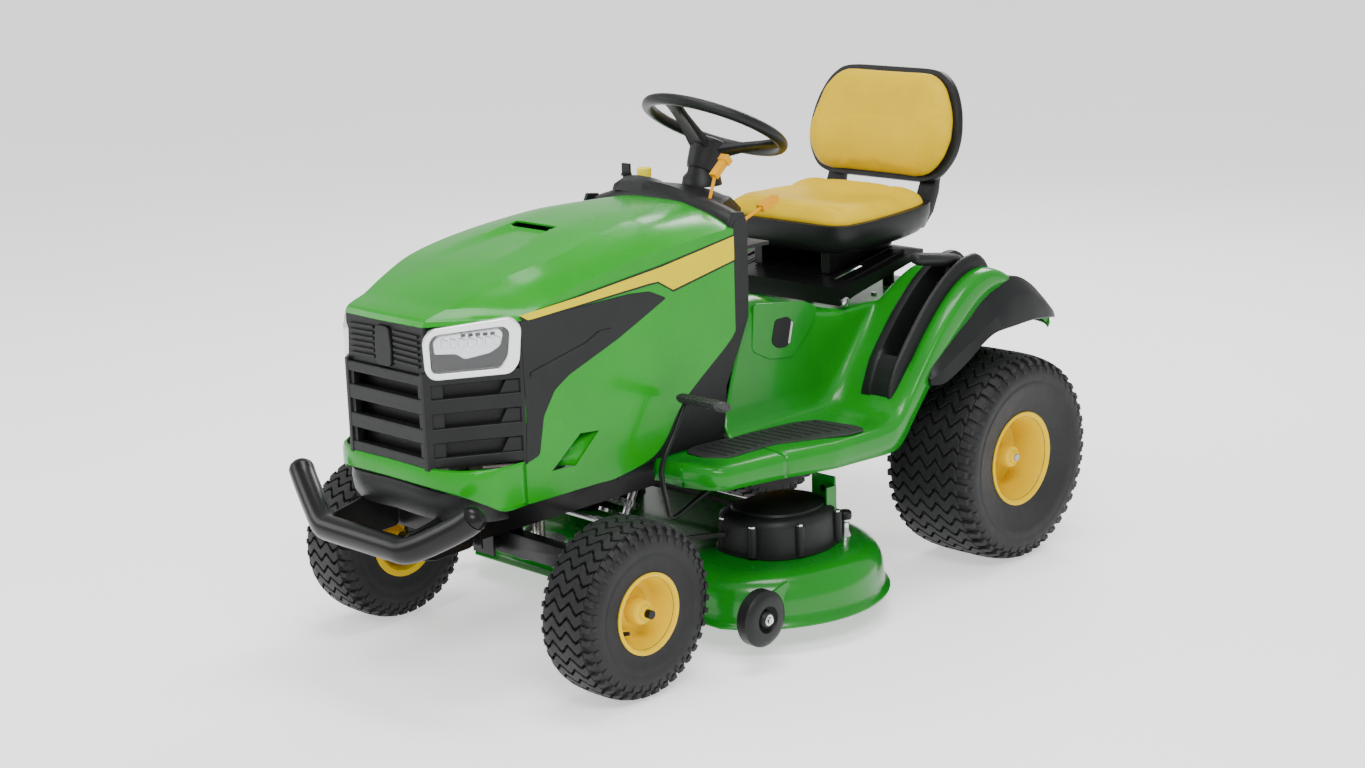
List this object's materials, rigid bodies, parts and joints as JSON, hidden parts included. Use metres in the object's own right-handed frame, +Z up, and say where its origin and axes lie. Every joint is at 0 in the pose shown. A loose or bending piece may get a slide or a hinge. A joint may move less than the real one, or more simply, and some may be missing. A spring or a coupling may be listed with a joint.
{
  "type": "riding lawn mower",
  "caption": "Riding lawn mower with tilting hood, steered front axle, driven rear wheels, adjustable seat, pedals and a lifting mid-mounted cutting deck with side discharge.",
  "frame": {"origin": "ground plane, under the centre of the machine's bounding box", "axes": "+Z up, -Y the way the machine drives, +X its left side"},
  "size_m": [1.2698, 1.8961, 1.1775],
  "materials": {
    "hood_green": "glossy moulded plastic",
    "fender_green": "glossy moulded plastic",
    "deck_green": "gloss powder coat",
    "black_plastic": "fine grained",
    "black_steel": "gloss black paint",
    "rim_yellow": "gloss paint",
    "stripe_yellow": "printed film",
    "seat_yellow": "grained vinyl",
    "tyre": "turf tread rubber",
    "mat_rubber": "ribbed rubber",
    "belt_rubber": "fabric backed belt",
    "engine_alloy": "die cast",
    "bare_steel": "turned",
    "zinc": "zinc plated",
    "muffler_steel": "heat tinted",
    "lamp_chrome": "bright",
    "lens": "clear moulded",
    "tank_plastic": "translucent",
    "lever_orange": "moulded",
    "knob_yellow": "moulded"
  },
  "bodies": {
    "chassis": {"frame_rails": "black_steel", "front_bumper": "black_steel", "front_valance": "black_plastic", "engine_block": "engine_alloy", "blower_housing": "black_plastic", "muffler": "muffler_steel", "battery": "black_plastic", "fuel_tank": "tank_plastic", "fender_body": "fender_green", "foot_mats": "mat_rubber", "rear_trim": "black_plastic", "lift_console": "black_plastic", "dash_pedestal": "black_plastic", "dash_panel": "black_plastic", "transaxle": "engine_alloy", "drawbar": "black_steel", "fasteners": "zinc"},
    "crank": {"crank_pulley": "bare_steel"},
    "axle": {"front_axle": "black_steel"},
    "spindle_l": {"spindle_left": "black_steel"},
    "spindle_r": {"spindle_right": "black_steel"},
    "front_wheel_l": {"front_rim_left": "rim_yellow", "front_tyre_left": "tyre"},
    "front_wheel_r": {"front_rim_right": "rim_yellow", "front_tyre_right": "tyre"},
    "rear_wheel_l": {"rear_rim_left": "rim_yellow", "rear_tyre_left": "tyre"},
    "rear_wheel_r": {"rear_rim_right": "rim_yellow", "rear_tyre_right": "tyre"},
    "links": {"steering_links": "bare_steel"},
    "steering": {"steering_wheel": "black_plastic", "steering_shaft": "bare_steel"},
    "sector": {"sector_gear": "bare_steel"},
    "hood": {"hood_shell": "hood_green", "grille": "black_plastic", "side_inserts": "black_plastic", "lamp_bezels": "lamp_chrome", "lamp_lenses": "lens", "side_stripes": "stripe_yellow"},
    "seat_frame": {"seat_base": "black_steel"},
    "seat": {"seat_pan": "black_plastic", "seat_cushion": "seat_yellow", "back_cushion": "seat_yellow"},
    "brake": {"brake_pedal": "black_steel"},
    "forward": {"forward_pedal": "black_steel"},
    "reverse": {"reverse_pedal": "black_steel"},
    "throttle": {"throttle_lever": "lever_orange"},
    "pto": {"pto_knob": "knob_yellow"},
    "park_brake": {"park_brake_lever": "lever_orange"},
    "key": {"ignition_key": "black_plastic"},
    "lift": {"lift_lever": "black_plastic"},
    "deck": {"deck_shell": "deck_green", "belt_covers": "black_plastic", "drive_belt": "belt_rubber"},
    "blade_l": {"blade_left": "bare_steel"},
    "blade_r": {"blade_right": "bare_steel"},
    "chute": {"discharge_chute": "black_plastic"},
    "gauge_l": {"gauge_wheel_left": "black_plastic"},
    "gauge_r": {"gauge_wheel_right": "black_plastic"},
    "cap": {"fuel_cap": "black_plastic"}
  },
  "joints": [
    {"name": "crank_spin", "type": "hinge", "parent": "chassis", "child": "crank", "pos_m": [0.075, -0.4345, 0.212], "axis": [0, 0, 1], "continuous": true},
    {"name": "axle_oscillate", "type": "hinge", "parent": "chassis", "child": "axle", "pos_m": [0.075, -0.5545, 0.262], "axis": [0, 1, 0], "range_deg": [-6, 6]},
    {"name": "steer_left", "type": "hinge", "parent": "axle", "child": "spindle_l", "pos_m": [0.375, -0.5545, 0.1905], "axis": [0, 0, 1], "range_deg": [-35, 35]},
    {"name": "steer_right", "type": "hinge", "parent": "axle", "child": "spindle_r", "pos_m": [-0.225, -0.5545, 0.1905], "axis": [0, 0, 1], "range_deg": [-35, 35]},
    {"name": "front_roll_left", "type": "hinge", "parent": "spindle_l", "child": "front_wheel_l", "pos_m": [0.475, -0.5545, 0.1905], "axis": [1, 0, 0], "continuous": true},
    {"name": "front_roll_right", "type": "hinge", "parent": "spindle_r", "child": "front_wheel_r", "pos_m": [-0.325, -0.5545, 0.1905], "axis": [1, 0, 0], "continuous": true},
    {"name": "rear_roll_left", "type": "hinge", "parent": "chassis", "child": "rear_wheel_l", "pos_m": [0.475, 0.6855, 0.254], "axis": [1, 0, 0], "continuous": true},
    {"name": "rear_roll_right", "type": "hinge", "parent": "chassis", "child": "rear_wheel_r", "pos_m": [-0.325, 0.6855, 0.254], "axis": [1, 0, 0], "continuous": true},
    {"name": "drag_link_slide", "type": "slide", "parent": "axle", "child": "links", "axis": [1, 0, 0], "range_m": [-0.0517, 0.0517]},
    {"name": "steering_turn", "type": "hinge", "parent": "chassis", "child": "steering", "pos_m": [0.075, 0.1685, 1.088], "axis": [0, 0.4633, 0.8862], "range_deg": [-225, 225]},
    {"name": "sector_turn", "type": "hinge", "parent": "chassis", "child": "sector", "pos_m": [0.075, -0.15276, 0.24038], "axis": [0, 0.4633, 0.8862], "range_deg": [-45, 45]},
    {"name": "hood_open", "type": "hinge", "parent": "chassis", "child": "hood", "pos_m": [0.075, -0.8045, 0.425], "axis": [1, 0, 0], "range_deg": [0, 70]},
    {"name": "seat_tilt", "type": "hinge", "parent": "chassis", "child": "seat_frame", "pos_m": [0.075, 0.3655, 0.661], "axis": [1, 0, 0], "range_deg": [0, 50]},
    {"name": "seat_slide", "type": "slide", "parent": "seat_frame", "child": "seat", "axis": [0, 0.9871, 0.1602], "range_m": [-0.05, 0.05]},
    {"name": "brake_press", "type": "hinge", "parent": "chassis", "child": "brake", "pos_m": [0.375, -0.1695, 0.35], "axis": [1, 0, 0], "range_deg": [0, 20], "stiffness_Nm_per_rad": 30, "springref_deg": -11.46},
    {"name": "forward_press", "type": "hinge", "parent": "chassis", "child": "forward", "pos_m": [-0.21, -0.1225, 0.443], "axis": [1, 0, 0], "range_deg": [0, 15], "stiffness_Nm_per_rad": 5, "springref_deg": -11.46},
    {"name": "reverse_press", "type": "hinge", "parent": "chassis", "child": "reverse", "pos_m": [-0.295, -0.0725, 0.443], "axis": [1, 0, 0], "range_deg": [0, 15], "stiffness_Nm_per_rad": 5, "springref_deg": -11.46},
    {"name": "throttle_move", "type": "hinge", "parent": "chassis", "child": "throttle", "pos_m": [0.195, 0.0055, 0.905], "axis": [1, 0, 0], "range_deg": [-10, 25]},
    {"name": "pto_pull", "type": "slide", "parent": "chassis", "child": "pto", "axis": [0, 0, 1], "range_m": [0, 0.02]},
    {"name": "park_brake_move", "type": "hinge", "parent": "chassis", "child": "park_brake", "pos_m": [0.24, 0.0755, 0.89], "axis": [1, 0, 0], "range_deg": [-8, 12]},
    {"name": "key_turn", "type": "hinge", "parent": "chassis", "child": "key", "pos_m": [-0.095, 0.0405, 0.96], "axis": [0, 0, 1], "range_deg": [0, 90]},
    {"name": "lift_lever_move", "type": "hinge", "parent": "chassis", "child": "lift", "pos_m": [0.447, 0.5355, 0.56], "axis": [1, 0, 0], "range_deg": [-10, 33.3]},
    {"name": "deck_lift", "type": "slide", "parent": "chassis", "child": "deck", "axis": [0, 0, 1], "range_m": [-0.04, 0.012], "deforming": ["drive_belt"]},
    {"name": "blade_spin_left", "type": "hinge", "parent": "deck", "child": "blade_l", "pos_m": [0.33, 0.0055, 0.088], "axis": [0, 0, 1], "continuous": true},
    {"name": "blade_spin_right", "type": "hinge", "parent": "deck", "child": "blade_r", "pos_m": [-0.18, 0.0055, 0.088], "axis": [0, 0, 1], "continuous": true},
    {"name": "chute_flip", "type": "hinge", "parent": "deck", "child": "chute", "pos_m": [-0.441, 0.0655, 0.176], "axis": [0, 1, 0], "range_deg": [0, 80]},
    {"name": "gauge_roll_left", "type": "hinge", "parent": "deck", "child": "gauge_l", "pos_m": [0.588, -0.2645, 0.112], "axis": [1, 0, 0], "continuous": true},
    {"name": "gauge_roll_right", "type": "hinge", "parent": "deck", "child": "gauge_r", "pos_m": [-0.438, -0.2645, 0.112], "axis": [1, 0, 0], "continuous": true},
    {"name": "fuel_cap_turn", "type": "hinge", "parent": "chassis", "child": "cap", "pos_m": [-0.02, 0.7055, 0.635], "axis": [0, 0, 1], "range_deg": [0, 120]}
  ],
  "couplings": [
    {"joint": "steer_left", "follows": "steering_turn", "ratio": 0.15556},
    {"joint": "steer_right", "follows": "steering_turn", "ratio": 0.15556},
    {"joint": "sector_turn", "follows": "steering_turn", "ratio": -0.2},
    {"joint": "drag_link_slide", "follows": "steering_turn", "m_per_rad": -0.01314},
    {"joint": "deck_lift", "follows": "lift_lever_move", "m_per_rad": -0.0688},
    {"joint": "blade_spin_left", "follows": "crank_spin", "ratio": 0.8871},
    {"joint": "blade_spin_right", "follows": "crank_spin", "ratio": 0.8871}
  ]
}
